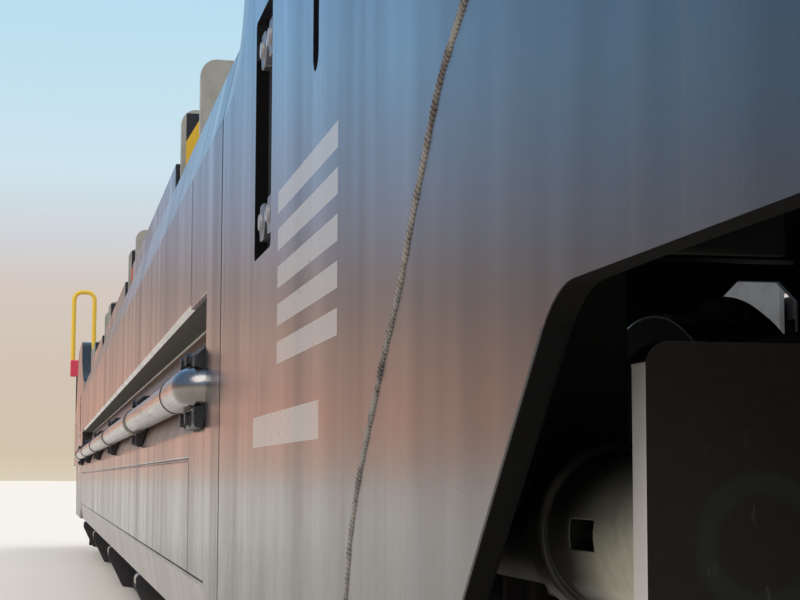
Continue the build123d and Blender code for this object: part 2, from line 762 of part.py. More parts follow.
def bearing_block(x, half):
    """Block that fills the recess behind the shaft and holds it in a half round saddle."""
    z = up(SHAFT_HEIGHT)
    side = outline(
        (SIDE_Y - 120, up(RECESS_LOW + 6)),
        (SIDE_Y + 14, up(RECESS_LOW + 6)),
        (SIDE_Y + 20, up(RECESS_LOW + 12)),
        (SIDE_Y + 20, up(890)),
        (SIDE_Y, up(908)),
        (SIDE_Y - 120, up(908)),
    )
    slope = outline(
        (SIDE_Y - RECESS_DEPTH, up(RECESS_TOP)),
        (SIDE_Y + 60, up(RECESS_TOP)),
        (SIDE_Y + 60, up(RECESS_LOW)),
        (SIDE_Y, up(RECESS_LOW)),
    )
    body = along_x(side, x - half, x + half) & along_x(slope, x - half, x + half)
    radius = COLLAR_RADIUS if abs(x) > 5000 else SHAFT_RADIUS
    return body - rod_x(x - half - 1, x + half + 1, SHAFT_Y, z, radius)


far_wall = wall_shell()
far_shaft = lock_shaft()
far_blocks = [solid for x, half in BEARING_BLOCKS for solid in bearing_block(x, half).solids()]
far_brackets = [hinge_bracket(x) for x in WALL_HINGES_X]
for name, change in (("far", lambda shape: shape), ("near", other_side)):
    keep(f"wall_{name}", change(far_wall))
    keep(f"lock_shaft_{name}", change(far_shaft))
    keep(f"shaft_bearings_{name}", *[change(shape) for shape in far_blocks])
keep("hinge_brackets", *far_brackets, *[other_side(shape) for shape in far_brackets])


# Loading tray.
def tray_pan():
    """Flat pan with upright sides; its underside is a grid of ribs round shallow pockets."""
    inner_y = TRAY_Y - TRAY_SIDE_PLATE
    outer = block(-TRAY_END_X, TRAY_END_X, -TRAY_Y, TRAY_Y, up(TRAY_LOW), up(TRAY_SIDE_TOP))
    inner_x = TRAY_END_X - 30
    space = block(-inner_x, inner_x, -inner_y, inner_y, up(TRAY_FLOOR), up(TRAY_SIDE_TOP) + 1)
    pan = outer - space
    bays = 8
    pitch = 2 * inner_x / bays
    for number in range(bays):
        x0 = -inner_x + number * pitch + 20
        x1 = x0 + pitch - 40
        for y0, y1 in ((-1060, -635), (-605, -135), (135, 605), (635, 1060)):
            pan -= block(x0, x1, y0, y1, up(TRAY_LOW) - 1, up(TRAY_FLOOR) - 12)
    return pan


keep("tray_pan", tray_pan())


def tray_post(x):
    """Flat post from the tray's side up past the wall, with rounded shoulders."""
    face = outline(
        (x - 340, up(TRAY_SIDE_TOP)),
        (x - 340, up(EAR_TOP), 40),
        (x + 340, up(EAR_TOP), 40),
        (x + 340, up(TRAY_SIDE_TOP)),
    )
    return along_y(face, TRAY_Y - TRAY_SIDE_PLATE, TRAY_Y)


def tray_ear(x):
    """Upright plate of a lifting pair, standing out over the wall's top."""
    face = outline(
        (TRAY_Y, up(EAR_LOW)),
        (TRAY_Y, up(EAR_TOP)),
        (EAR_OUTER_Y, up(EAR_TOP), 40),
        (EAR_OUTER_Y, up(EAR_LOW), 15),
    )
    return along_x(face, x - EAR_PLATE / 2, x + EAR_PLATE / 2)


far_posts = [tray_post(x) for x in EAR_PAIRS_X]
far_ears = [tray_ear(x + side * EAR_HALF_SPACING) for x in EAR_PAIRS_X for side in (-1, 1)]
keep("tray_posts", *far_posts, *[other_side(shape) for shape in far_posts])
keep("tray_ears", *far_ears, *[other_side(shape) for shape in far_ears])


def kingpin_stand():
    """Trestle for a semi-trailer's front: two side frames, a top plate and the king pin's socket."""
    x = KINGPIN_X
    z0 = up(TRAY_FLOOR)
    z1 = up(KINGPIN_HEIGHT)
    frame = outline((x - 420, z0), (x - 260, z1 - 30), (x + 260, z1 - 30), (x + 420, z0))
    opening = outline(
        (x - 300, z0 + 60, 40),
        (x - 180, z1 - 110, 60),
        (x + 180, z1 - 110, 60),
        (x + 300, z0 + 60, 40),
    )
    side = along_y(frame - opening, 380, 440)
    plate = outline(
        (x - 400, -470, 90),
        (x + 400, -470, 90),
        (x + 400, 470, 90),
        (x - 400, 470, 90),
    )
    top = along_z(plate, z1 - 30, z1)
    collar = rod_z(z1 - 110, z1 - 20, x, 0, 70)
    tie = block(x - 60, x + 60, -400, 400, z1 - 110, z1 - 30)
    body = fused([side, other_side(side), top, collar, tie])
    return body - rod_z(z1 - 120, z1 + 10, x, 0, KINGPIN_RADIUS + 0.1)


keep("kingpin_stand", kingpin_stand())


# Hand loops on posts that stand on the cheeks' low ends at two opposite corners.
LOOP_X = 8860
LOOP_Y = 1415


def loop_post():
    inner_y = SIDE_Y - CHEEK_PLATE - CHEEK_RIM_DEPTH
    return block(LOOP_X - 45, LOOP_X + 45, inner_y, SIDE_Y, up(CHEEK_END_TOP), up(1640))


def loop_block():
    return block(LOOP_X - 60, LOOP_X + 60, LOOP_Y - 123, LOOP_Y + 123, up(1640), up(1800))


def hand_loop():
    z0, z1 = up(1800), up(2480)
    corners = [
        (LOOP_X, LOOP_Y - 100, z0),
        (LOOP_X, LOOP_Y - 100, z1),
        (LOOP_X, LOOP_Y + 100, z1),
        (LOOP_X, LOOP_Y + 100, z0),
    ]
    path = FilletPolyline(*corners, radius=80)
    return sweep(Plane(path @ 0, z_dir=path % 0) * Circle(22), path=path)


keep("loop_posts", loop_post(), other_end(other_side(loop_post())))
keep("loop_blocks", loop_block(), other_end(other_side(loop_block())))
keep("hand_loops", hand_loop(), other_end(other_side(hand_loop())))


# Air reservoirs between each end's outer wheels and headstock.
def reservoir():
    profile = outline((0, 0), (0, 55), (22, 95), (55, 110), (545, 110), (578, 95), (600, 55), (600, 0))
    tank = Pos(8745, 350, up(985)) * revolve(Plane.YZ * profile, Axis.Y)
    straps = [block(8735, 8755, 350 + y, 380 + y, up(1080), up(DECK_LOW)) for y in (120, 450)]
    return fused([tank, *straps])


keep("air_reservoirs", reservoir(), other_end(other_side(reservoir())))


os.makedirs("parts", exist_ok=True)
for node, shape in parts.items():
    export_step(shape, f"parts/{node}.step")
print(len(parts), "nodes")
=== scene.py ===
import json
import math

import bmesh
import bpy
from mathutils import Matrix, Vector

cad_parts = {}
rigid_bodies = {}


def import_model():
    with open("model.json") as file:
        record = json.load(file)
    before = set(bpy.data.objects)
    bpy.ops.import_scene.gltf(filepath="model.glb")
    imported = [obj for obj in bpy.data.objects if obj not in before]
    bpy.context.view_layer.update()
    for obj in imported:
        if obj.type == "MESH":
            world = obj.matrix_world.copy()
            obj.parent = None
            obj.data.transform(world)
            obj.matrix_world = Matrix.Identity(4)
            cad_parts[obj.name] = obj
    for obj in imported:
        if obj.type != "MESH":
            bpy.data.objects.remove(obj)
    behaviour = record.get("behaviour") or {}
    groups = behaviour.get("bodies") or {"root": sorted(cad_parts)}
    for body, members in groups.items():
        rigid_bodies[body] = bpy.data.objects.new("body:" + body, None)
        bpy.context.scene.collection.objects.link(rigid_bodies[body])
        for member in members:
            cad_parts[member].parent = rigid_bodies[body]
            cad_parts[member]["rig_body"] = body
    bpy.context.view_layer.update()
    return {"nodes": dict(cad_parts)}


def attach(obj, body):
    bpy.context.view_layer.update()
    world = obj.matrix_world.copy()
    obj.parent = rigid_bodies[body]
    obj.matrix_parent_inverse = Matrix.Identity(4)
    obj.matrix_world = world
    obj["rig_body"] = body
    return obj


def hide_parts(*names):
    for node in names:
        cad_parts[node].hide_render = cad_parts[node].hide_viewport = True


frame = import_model()
railTop = 0.028  # the flanges' lowest point is this far under the rail's top

# places that several pieces share, in metres: distances from the wagon's middle, heights above the rail
places = {
    "pivot": 7.1,
    "axle": 0.9,  # from its bogie's pivot
    "axleHeight": 0.46,
    "buffer": 0.875,
    "bufferHeight": 1.06,
    "side": 1.48,
    "shaft": 1.5,
    "shaftHeight": 0.826,
    "cylinder": 1.3,
    "cylinderHeight": 0.6,
}


def up(height):
    # a height above the rail as Z
    return height + railTop


# shader helpers
class Signal:
    # one output socket; sums and products on it add their Math nodes
    def __init__(self, finish, socket):
        self.finish = finish
        self.socket = socket

    def math(self, operation, *values):
        sockets = dict(enumerate(values))
        return self.finish.node("Math", {"operation": operation}, sockets)

    def __add__(self, other):
        return self.math("ADD", self, other)

    def __radd__(self, other):
        return self.math("ADD", other, self)

    def __sub__(self, other):
        return self.math("SUBTRACT", self, other)

    def __rsub__(self, other):
        return self.math("SUBTRACT", other, self)

    def __mul__(self, other):
        return self.math("MULTIPLY", self, other)

    def __rmul__(self, other):
        return self.math("MULTIPLY", other, self)

    def __truediv__(self, other):
        return self.math("DIVIDE", self, other)

    def __mod__(self, other):
        return self.math("FLOORED_MODULO", self, other)

    def __pow__(self, other):
        return self.math("POWER", self, other)

    def __gt__(self, other):
        return self.math("GREATER_THAN", self, other)

    def __lt__(self, other):
        return self.math("LESS_THAN", self, other)

    def __abs__(self):
        return self.math("ABSOLUTE", self)


class Finish:
    # a node tree under construction, for a material or for the world
    def __init__(self, owner):
        self.owner = owner
        owner.use_nodes = True
        self.tree = owner.node_tree
        self.tree.nodes.clear()

    def node(self, kind, settings=None, sockets=None, out=0):
        made = self.tree.nodes.new("ShaderNode" + kind)
        for name, value in (settings or {}).items():
            if name == "stops":
                self.setStops(made.color_ramp, value)
            else:
                setattr(made, name, value)
        for name, value in (sockets or {}).items():
            target = made.inputs[name]
            if isinstance(value, Signal):
                self.tree.links.new(value.socket, target)
            elif hasattr(value, "__len__") and target.type == "RGBA":
                target.default_value = (*value, 1)
            else:
                target.default_value = value
        return Signal(self, made.outputs[out]) if made.outputs else None

    def setStops(self, ramp, stops):
        while len(ramp.elements) < len(stops):
            ramp.elements.new(1)
        for element, (position, colour) in zip(ramp.elements, stops):
            element.position = position
            element.color = (*colour, 1)

    def place(self):
        return self.node("TexCoord", out="Object")

    def axis(self, name):
        return self.node("SeparateXYZ", None, {0: self.place()}, out=name)

    def spots(self):
        # distances along and out from the wagon's middle, and the height above the rail
        return abs(self.axis("X")), abs(self.axis("Y")), self.axis("Z") - railTop

    def noise(self, scale=1.0, stretch=(1, 1, 1), detail=3, roughness=0.55, shift=(0, 0, 0)):
        spot = self.node("Mapping", None, {"Vector": self.place(), "Scale": stretch, "Location": shift})
        sockets = {"Vector": spot, "Scale": scale, "Detail": detail, "Roughness": roughness}
        return self.node("TexNoise", None, sockets, out="Fac")

    def smooth(self, value, low, high, start=0.0, end=1.0):
        sockets = {"Value": value, "From Min": low, "From Max": high, "To Min": start, "To Max": end}
        return self.node("MapRange", {"interpolation_type": "SMOOTHSTEP"}, sockets)

    def tint(self, mask, first, second):
        # the first colour where the mask is 0, the second where it is 1
        sockets = {0: mask, 6: first, 7: second}
        return self.node("Mix", {"data_type": "RGBA"}, sockets, out=2)

    def bump(self, height, distance, strength=1.0, under=None):
        sockets = {"Height": height, "Distance": distance, "Strength": strength}
        if under is not None:
            sockets["Normal"] = under
        return self.node("Bump", None, sockets)

    def surface(self, sockets):
        shader = self.node("BsdfPrincipled", None, sockets)
        self.node("OutputMaterial", None, {"Surface": shader})
        return self.owner


def newFinish(name):
    return Finish(bpy.data.materials.new(name))


def zone(spots, along=None, out=None, height=None):
    # 1 between the limits and 0 elsewhere, the same at both ends and on both sides of the wagon
    mask = 1.0
    for value, limits in zip(spots, (along, out, height)):
        low, high = limits or (None, None)
        if low is not None:
            mask = mask * (value > low)
        if high is not None:
            mask = mask * (value < high)
    return mask


def reach(first, second):
    # distance from an axis, from the distances across it in two directions
    return (first * first + second * second) ** 0.5


# finishes: each one's colours and the places where it changes stand above its function
paintLook = {
    "colour": (0.013, 0.014, 0.017),
    "streakColour": (0.030, 0.029, 0.028),
    "dustAndReflectionColour": (0.36, 0.32, 0.28),
    "recessRustAndReflection": (0.27, 0.155, 0.095),
    "bevelDustAndReflection": (0.50, 0.47, 0.43),
    "lipHighlight": (0.40, 0.37, 0.34),
    "shadeColour": (0.004, 0.004, 0.004),
    "ceilingShadeColour": (0.15, 0.145, 0.13),
    "dustAndReflectionFades": (0.15, 1.0),  # between these heights
    "thickDustAndReflectionFades": (0.30, 0.70),
    "dustAndReflectionShare": {"low": 0.11, "lowest": 0.22, "streaks": 0.014, "patches": 0.05, "specks": 0.08},
    "lessOnWalls": {"dustAndReflection": 0.4, "streaks": 0.6, "waves": 0.6},
    "roughness": 0.20,
    "ior": 1.58,
    "matt": {"Roughness": 0.85, "Specular IOR Level": 0.1},
}

paintZones = {
    "wall": {"along": (None, 5.7)},
    "skin": {"out": (1.4785, None)},  # the sides' outer faces
    "bevel": {"along": (None, 5.71), "out": (1.44, 1.4785), "height": (None, 0.4385)},
    "recess": {"along": (None, 5.489), "out": (1.38, 1.4785), "height": (0.74, 1.009)},
    "crease": {"along": (None, 5.49), "out": (1.47, None), "height": (0.4406, 0.4444)},
    "cheekInside": {"along": (5.7875, None), "out": (None, 1.4790), "height": (None, 1.288)},
    "ceiling": {"along": (None, 5.4895), "out": (None, 1.4695), "height": (1.0096, 1.0124)},
    "lip": {"along": (None, 5.11), "out": (1.4697, 1.4797), "height": (1.0112, 1.0208)},
}

# plain white marks on the cheeks: five bars over a strip
markLook = {
    "colour": (0.38, 0.38, 0.375),
    "cover": 0.9,
    "barCount": 5,
    "barAlong": (6.58, 7.09),
    "barFoot": 0.800,
    "barTop": 0.830,
    "barPitch": 0.052,
    "stripAlong": (6.31, 6.96),
    "stripHeight": (0.69, 0.735),
}


def markZones():
    look = markLook
    for index in range(look["barCount"]):
        rise = index * look["barPitch"]
        yield {"along": look["barAlong"], "height": (look["barFoot"] + rise, look["barTop"] + rise)}
    yield {"along": look["stripAlong"], "height": look["stripHeight"]}


def wagonPaint():
    # glossy black with streaks and dust, the dust low down and on the lower bevel paler also as painted
    # reflection, rust-brown in the recess partly as painted reflection, a painted highlight on the recess's
    # lip, and dull black as painted shade on the cheeks' inner faces and edges, on the ceiling of the walls'
    # recess and along the walls' crease
    look = paintLook
    f = newFinish("wagonBlack")
    spots = f.spots()
    height = spots[2]
    at = {name: zone(spots, **limits) for name, limits in paintZones.items()}
    less = {name: 1.0 - at["wall"] * amount for name, amount in look["lessOnWalls"].items()}
    streaks = f.noise(stretch=(34, 34, 0.8), detail=4, roughness=0.6)
    wide = f.noise(stretch=(9, 9, 0.35), roughness=0.5, shift=(2, 5, 1))
    broad = f.noise(stretch=(3.2, 3.2, 0.5), roughness=0.5, shift=(4, 1, 2))
    specks = f.smooth(f.noise(75, detail=2), 0.70, 0.78)
    fineDust = f.noise(7.0, detail=5, roughness=0.7)

    # dust lies thicker low down, where it is also a painted reflection of the pale ground, and thinner on
    # the walls than on the cheeks
    share = look["dustAndReflectionShare"]
    low = f.smooth(height, *look["dustAndReflectionFades"], 1.0, 0.0)
    lowest = f.smooth(height, *look["thickDustAndReflectionFades"], 1.0, 0.0)
    dustAndReflection = (low * share["low"] + lowest * share["lowest"]) * f.smooth(fineDust, 0.25, 0.75)
    dustAndReflection = dustAndReflection + f.smooth(streaks, 0.60, 0.82) * share["streaks"]
    dustAndReflection = (dustAndReflection + f.smooth(wide, 0.58, 0.75) * low * share["patches"]) * less["dustAndReflection"]
    streaked = f.smooth(streaks, 0.42, 0.72, 0.0, 0.6) * less["streaks"]
    # rust-brown in the recess, partly a painted reflection of warm light on its back slope
    rustAndReflection = at["recess"] * f.smooth(fineDust, 0.2, 0.7, 0.35, 0.7)
    # paler dust on the lower bevel, partly a painted reflection of the pale ground
    pale = at["bevel"] * f.smooth(fineDust, 0.2, 0.7, 0.45, 0.75)
    worn = f.smooth(f.noise(45, detail=4), 0.22, 0.36)
    mark = sum(zone(spots, **limits) for limits in markZones()) * at["skin"] * worn

    colour = f.tint(streaked, look["colour"], look["streakColour"])
    colour = f.tint(dustAndReflection + specks * share["specks"], colour, look["dustAndReflectionColour"])
    colour = f.tint(rustAndReflection, colour, look["recessRustAndReflection"])
    colour = f.tint(pale, colour, look["bevelDustAndReflection"])
    colour = f.tint(mark * markLook["cover"], colour, markLook["colour"])
    # a painted highlight along the lip of the recess
    colour = f.tint(at["lip"], colour, look["lipHighlight"])

    wave = f.noise(stretch=(3.4, 3.4, 0.7), detail=2, roughness=0.4)
    peel = f.noise(240, detail=1)
    normal = f.bump(wave * less["waves"], 0.009)
    normal = f.bump(peel, 0.0002, strength=0.3, under=normal)
    rough = f.smooth(broad, 0.3, 0.7, -0.03, 0.04) + f.smooth(wide, 0.4, 0.7, -0.02, 0.03)
    rough = rough + look["roughness"] + streaked * 0.05 + dustAndReflection * 0.5
    rough = rough + mark * 0.1 + at["recess"] * 0.12 + at["bevel"] * 0.15
    gloss = f.node("BsdfPrincipled", None, {
        "Base Color": colour, "Roughness": rough, "Normal": normal, "IOR": look["ior"],
    })
    # painted shade: dull dark paint on the cheeks' inner faces and edges, on the recess's ceiling and along
    # the crease
    shadeTone = f.tint(at["ceiling"], look["shadeColour"], look["ceilingShadeColour"])
    matt = f.node("BsdfPrincipled", None, {"Base Color": shadeTone, **look["matt"]})
    shadedPart = f.node("Clamp", None, {"Value": at["cheekInside"] + at["ceiling"] + at["crease"]})
    both = f.node("MixShader", None, {0: shadedPart, 1: gloss, 2: matt})
    f.node("OutputMaterial", None, {"Surface": both})
    return f.owner


def dustyPaint(name, base, dusty, roughness, amount=0.5, scale=9.0, gloss=0.5):
    # paint or metal with dust in clouds, thicker low down
    f = newFinish(name)
    cloud = f.noise(scale, detail=5, roughness=0.68)
    grit = f.noise(90, detail=2)
    low = f.smooth(f.axis("Z"), 0.2, 1.2, 1.0, 0.35)
    mask = f.smooth(cloud, 0.35, 0.75) * low * amount + f.smooth(grit, 0.62, 0.74) * 0.08
    normal = f.bump(f.noise(160, detail=2), 0.0006, 0.5)
    rough = f.smooth(cloud, 0.3, 0.8, roughness - 0.08, roughness + 0.12)
    return f.surface({
        "Base Color": f.tint(mask, base, dusty), "Roughness": rough, "Normal": normal,
        "Specular IOR Level": gloss,
    })


wheelLook = {
    "web": (0.11, 0.075, 0.055),
    "rust": (0.20, 0.13, 0.09),
    "bright": (0.56, 0.55, 0.53),
    "treadRadius": (0.447, 0.453),
    "treadOut": 0.62,  # the treads lie past this
}


def wheelSteel():
    # rusty brown, with treads that the rail rubs bright
    look = wheelLook
    f = newFinish("wheelSteel")
    along, out, height = f.spots()
    fromAxle = abs(abs(along - places["pivot"]) - places["axle"])
    radius = reach(fromAxle, height - places["axleHeight"])
    tread = f.smooth(radius, *look["treadRadius"]) * (out > look["treadOut"])
    rust = f.noise(14, detail=5, roughness=0.7)
    web = f.tint(f.smooth(rust, 0.35, 0.7), look["web"], look["rust"])
    rough = f.smooth(rust, 0.3, 0.8, 0.60, 0.75) - tread * 0.42
    normal = f.bump(f.noise(80, detail=3), 0.0008, 0.6)
    return f.surface({
        "Base Color": f.tint(tread, web, look["bright"]), "Roughness": rough, "Normal": normal,
        "Metallic": f.smooth(tread, 0, 1, 0.35, 1.0),
    })


plateLook = {
    "dark": (0.008, 0.008, 0.010),
    "darkDust": (0.022, 0.022, 0.024),
    "zinc": (0.24, 0.25, 0.27),
    "zincStain": (0.15, 0.15, 0.16),
    "headOut": 1.4603,
}


def slotPlate():
    # dark plates whose bolt heads are zinc
    look = plateLook
    f = newFinish("plateDark")
    cloud = f.noise(24, detail=5, roughness=0.68)
    stain = f.smooth(cloud, 0.35, 0.75)
    head = abs(f.axis("Y")) > look["headOut"]
    dark = f.tint(stain, look["dark"], look["darkDust"])
    zinc = f.tint(stain, look["zinc"], look["zincStain"])
    rough = f.smooth(cloud, 0.3, 0.8, 0.45, 0.62) - head * 0.12
    metal = f.smooth(head, 0, 1, 0.0, 0.8)
    return f.surface({"Base Color": f.tint(head, dark, zinc), "Roughness": rough, "Metallic": metal})


springColours = {"steel": (0.07, 0.062, 0.056), "rust": (0.22, 0.17, 0.12)}


def springSteel():
    f = newFinish("springSteel")
    cloud = f.noise(22, detail=5, roughness=0.7)
    colour = f.tint(f.smooth(cloud, 0.35, 0.7), springColours["steel"], springColours["rust"])
    rough = f.smooth(cloud, 0.3, 0.8, 0.45, 0.75)
    return f.surface({"Base Color": colour, "Roughness": rough, "Metallic": 0.4})


bufferLook = {
    "steel": (0.045, 0.045, 0.048),
    "rust": (0.16, 0.13, 0.11),
    "rubbed": (0.42, 0.41, 0.40),
    "faceAlong": 9.655,
    "rubbedRadius": (0.19, 0.06),
}


def bufferSteel():
    # dark steel, rubbed bright in the middle of the buffers' faces
    look = bufferLook
    f = newFinish("bufferSteel")
    along, out, height = f.spots()
    cloud = f.noise(12, detail=5, roughness=0.65)
    radius = reach(out - places["buffer"], height - places["bufferHeight"])
    rubbed = (along > look["faceAlong"]) * f.smooth(radius + cloud * 0.05, *look["rubbedRadius"])
    colour = f.tint(f.smooth(cloud, 0.35, 0.72), look["steel"], look["rust"])
    colour = f.tint(rubbed * 0.75, colour, look["rubbed"])
    rough = f.smooth(cloud, 0.3, 0.8, 0.34, 0.6) - rubbed * 0.08
    normal = f.bump(f.noise(110, detail=3), 0.0006, 0.5)
    return f.surface({
        "Base Color": colour, "Roughness": rough, "Metallic": f.smooth(rubbed, 0, 1, 0.55, 1.0),
        "Normal": normal,
    })


cylinderLook = {
    "drum": (0.045, 0.045, 0.04),
    "drumLit": (0.72, 0.70, 0.57),
    "drumStain": (0.16, 0.15, 0.12),
    "hollow": (0.010, 0.010, 0.009),
    "plate": (0.006, 0.005, 0.004),
    "plateDust": (0.014, 0.012, 0.009),
    "ring": (0.025, 0.036, 0.022),
    "scuff": (0.16, 0.15, 0.13),
    "rim": (0.54, 0.52, 0.49),
    "plateAlong": 7.7985,  # the end plate lies past this
    "rimOut": 1.3847,
    "behindAlong": 7.4885,
    "litAlong": (7.56, 7.69),
    "litHeight": (0.70, 0.57),
    "window": {"along": (7.5899, 7.6551), "out": (1.340, None), "height": (0.5879, 0.6121)},
    "windowRadius": 0.0682,
    "ringRadius": 0.048,
    "scuffRadius": (0.09, 0.02),
}


def cylinderSteel():
    # a drum with a painted highlight near the end plate and low down, and painted shade as a dark window and
    # a dark barrel behind, behind an end plate with a bright rim
    look = cylinderLook
    f = newFinish("cylinderSteel")
    spots = f.spots()
    along, out, height = spots
    radius = reach(out - places["cylinder"], height - places["cylinderHeight"])
    plate = along > look["plateAlong"]
    behind = along < look["behindAlong"]
    cloud = f.noise(16, detail=5, roughness=0.66)
    smear = f.noise(stretch=(30, 60, 16), detail=4, roughness=0.6)
    ring = f.smooth(abs(radius + cloud * 0.012 - look["ringRadius"]), 0.012, 0.002)
    scuff = f.smooth(smear, 0.62, 0.70) * f.smooth(radius, *look["scuffRadius"])
    # painted highlight on the drum, brighter near the end plate and low down
    lit = f.smooth(along, *look["litAlong"]) * f.smooth(height, *look["litHeight"], 0.12, 1.0)
    window = zone(spots, **look["window"]) * (radius < look["windowRadius"])

    drum = f.tint(lit, look["drum"], look["drumLit"])
    drum = f.tint(f.smooth(cloud, 0.45, 0.8) * 0.5, drum, look["drumStain"])
    # painted shade: the window and the barrel behind it are painted dark
    drum = f.tint(window * 0.92, drum, look["hollow"])
    drum = f.tint(behind, drum, look["hollow"])
    flat = f.tint(f.smooth(cloud, 0.3, 0.75), look["plate"], look["plateDust"])
    flat = f.tint(ring * 0.35, flat, look["ring"])
    flat = f.tint(scuff * 0.30, flat, look["scuff"])
    flat = f.tint(plate * (out > look["rimOut"]), flat, look["rim"])
    rough = f.smooth(cloud, 0.3, 0.8, 0.30, 0.46) + ring * 0.06 + behind * 0.2
    metal = (1.0 - plate) * (1.0 - behind)
    normal = f.bump(f.noise(130, detail=3), 0.0004, 0.5)
    return f.surface({
        "Base Color": f.tint(plate, drum, flat), "Roughness": rough, "Normal": normal,
        "Metallic": f.smooth(metal, 0, 1, 0.0, 0.25), "Specular IOR Level": 0.18,
    })


tubeColours = {"silver": (0.255, 0.24, 0.225), "stain": (0.17, 0.15, 0.13)}


def silverTube():
    # drawn metal with fine lines and long stains along X
    f = newFinish("silverTube")
    drawn = f.noise(stretch=(3, 220, 220), detail=2, roughness=0.5)
    stain = f.noise(stretch=(3, 12, 12), detail=5, roughness=0.6)
    colour = f.tint(f.smooth(stain, 0.45, 0.8), tubeColours["silver"], tubeColours["stain"])
    rough = f.smooth(drawn, 0.3, 0.7, 0.19, 0.27) + f.smooth(stain, 0.45, 0.8, 0, 0.08)
    return f.surface({"Base Color": colour, "Roughness": rough, "Metallic": 0.95})


earLook = {
    "beige": (0.40, 0.385, 0.34),
    "worn": (0.31, 0.295, 0.26),
    "red": (0.76, 0.09, 0.07),
    "yellow": (0.80, 0.50, 0.03),
    "black": (0.012, 0.012, 0.014),
    "yellowAlong": 3.0,  # yellow past this, red nearer the wagon's middle
    "slope": 1.75,
    "pitch": 0.16,
    "stripedStep": 3.0,  # the ears at 1.2 and 4.2 are striped, the others are plain
    "stripedPart": 1.4,
    "insideBorder": {"out": (None, 1.428), "height": (None, 1.632)},
}


def earPaint():
    # beige, with slanting stripes inside a plain border on some of the ears
    look = earLook
    f = newFinish("earPaint")
    spots = f.spots()
    along, out, height = spots
    cloud = f.noise(10, detail=5, roughness=0.66)
    plain = f.tint(f.smooth(cloud, 0.35, 0.72), look["beige"], look["worn"])
    slant = ((out * look["slope"] + f.axis("Z")) % look["pitch"]) / look["pitch"]
    warn = f.tint(along > look["yellowAlong"], look["red"], look["yellow"])
    stripes = f.tint(slant > 0.5, warn, look["black"])
    striped = zone(spots, **look["insideBorder"]) * ((along % look["stripedStep"]) < look["stripedPart"])
    colour = f.tint(striped * f.smooth(cloud, 0.2, 0.3), plain, stripes)
    rough = f.smooth(cloud, 0.3, 0.8, 0.38, 0.55)
    normal = f.bump(f.noise(150, detail=2), 0.0005, 0.4)
    return f.surface({"Base Color": colour, "Roughness": rough, "Normal": normal})


trayLook = {
    "grey": (0.20, 0.21, 0.21),
    "dirt": (0.13, 0.12, 0.11),
    "rubber": (0.055, 0.052, 0.050),
    "floorTop": {"height": (0.2495, 0.2505)},
    "track": 0.93,  # where tyres roll, out from the middle
    "trackWidth": (0.36, 0.22),
    "lozenge": 0.06,
    "raise": 0.002,
}


def trayPaint():
    # grey with dark tyre tracks and the raised lozenges of tread plate on the floor
    look = trayLook
    f = newFinish("trayPaint")
    spots = f.spots()
    x, y = f.axis("X"), f.axis("Y")
    cloud = f.noise(3.0, detail=6, roughness=0.7)
    grit = f.noise(55, detail=3)
    floorTop = zone(spots, **look["floorTop"])
    tracks = f.smooth(abs(spots[1] - look["track"]), *look["trackWidth"]) * floorTop
    colour = f.tint(f.smooth(cloud, 0.35, 0.7), look["grey"], look["dirt"])
    colour = f.tint(tracks * f.smooth(grit, 0.35, 0.65) * 0.5, colour, look["rubber"])
    first = ((x + y) % look["lozenge"]) / look["lozenge"]
    second = ((x - y) % look["lozenge"]) / look["lozenge"]
    bars = f.smooth(abs(first - 0.5), 0.16, 0.06) * f.smooth(abs(second - 0.5), 0.46, 0.30)
    normal = f.bump(bars * floorTop, look["raise"])
    normal = f.bump(f.noise(130, detail=2), 0.0005, strength=0.4, under=normal)
    rough = f.smooth(cloud, 0.3, 0.8, 0.45, 0.62)
    return f.surface({"Base Color": colour, "Roughness": rough, "Normal": normal})


deckColours = {"dark": (0.045, 0.046, 0.048), "dustAndReflection": (0.11, 0.10, 0.09)}


def deckGrip():
    # a gritty coat on the end decks
    f = newFinish("deckGrip")
    cloud = f.noise(2.5, detail=6, roughness=0.7)
    colour = f.tint(f.smooth(cloud, 0.35, 0.7), deckColours["dark"], deckColours["dustAndReflection"])
    normal = f.bump(f.noise(420, detail=2), 0.0012, 0.8)
    return f.surface({"Base Color": colour, "Roughness": 0.78, "Normal": normal})


signalLook = {"chips": (0.10, 0.08, 0.07), "roughness": (0.36, 0.52)}


def signalPaint(name, base, faded):
    # bright paint, faded in clouds and with a few small chips
    f = newFinish(name)
    cloud = f.noise(18, detail=5, roughness=0.66)
    chips = f.smooth(f.noise(75, detail=4), 0.70, 0.74)
    colour = f.tint(f.smooth(cloud, 0.35, 0.75), base, faded)
    colour = f.tint(chips * 0.8, colour, signalLook["chips"])
    normal = f.bump(f.noise(170, detail=2), 0.0004, 0.4)
    rough = f.smooth(cloud, 0.3, 0.8, *signalLook["roughness"])
    return f.surface({"Base Color": colour, "Roughness": rough, "Normal": normal})


weldColours = {"bare": (0.27, 0.25, 0.22), "burnt": (0.085, 0.065, 0.055)}


def weldMetal():
    f = newFinish("weldMetal")
    cloud = f.noise(26, detail=5, roughness=0.7)
    colour = f.tint(f.smooth(cloud, 0.38, 0.62), weldColours["bare"], weldColours["burnt"])
    return f.surface({"Base Color": colour, "Roughness": 0.40, "Metallic": 0.2})


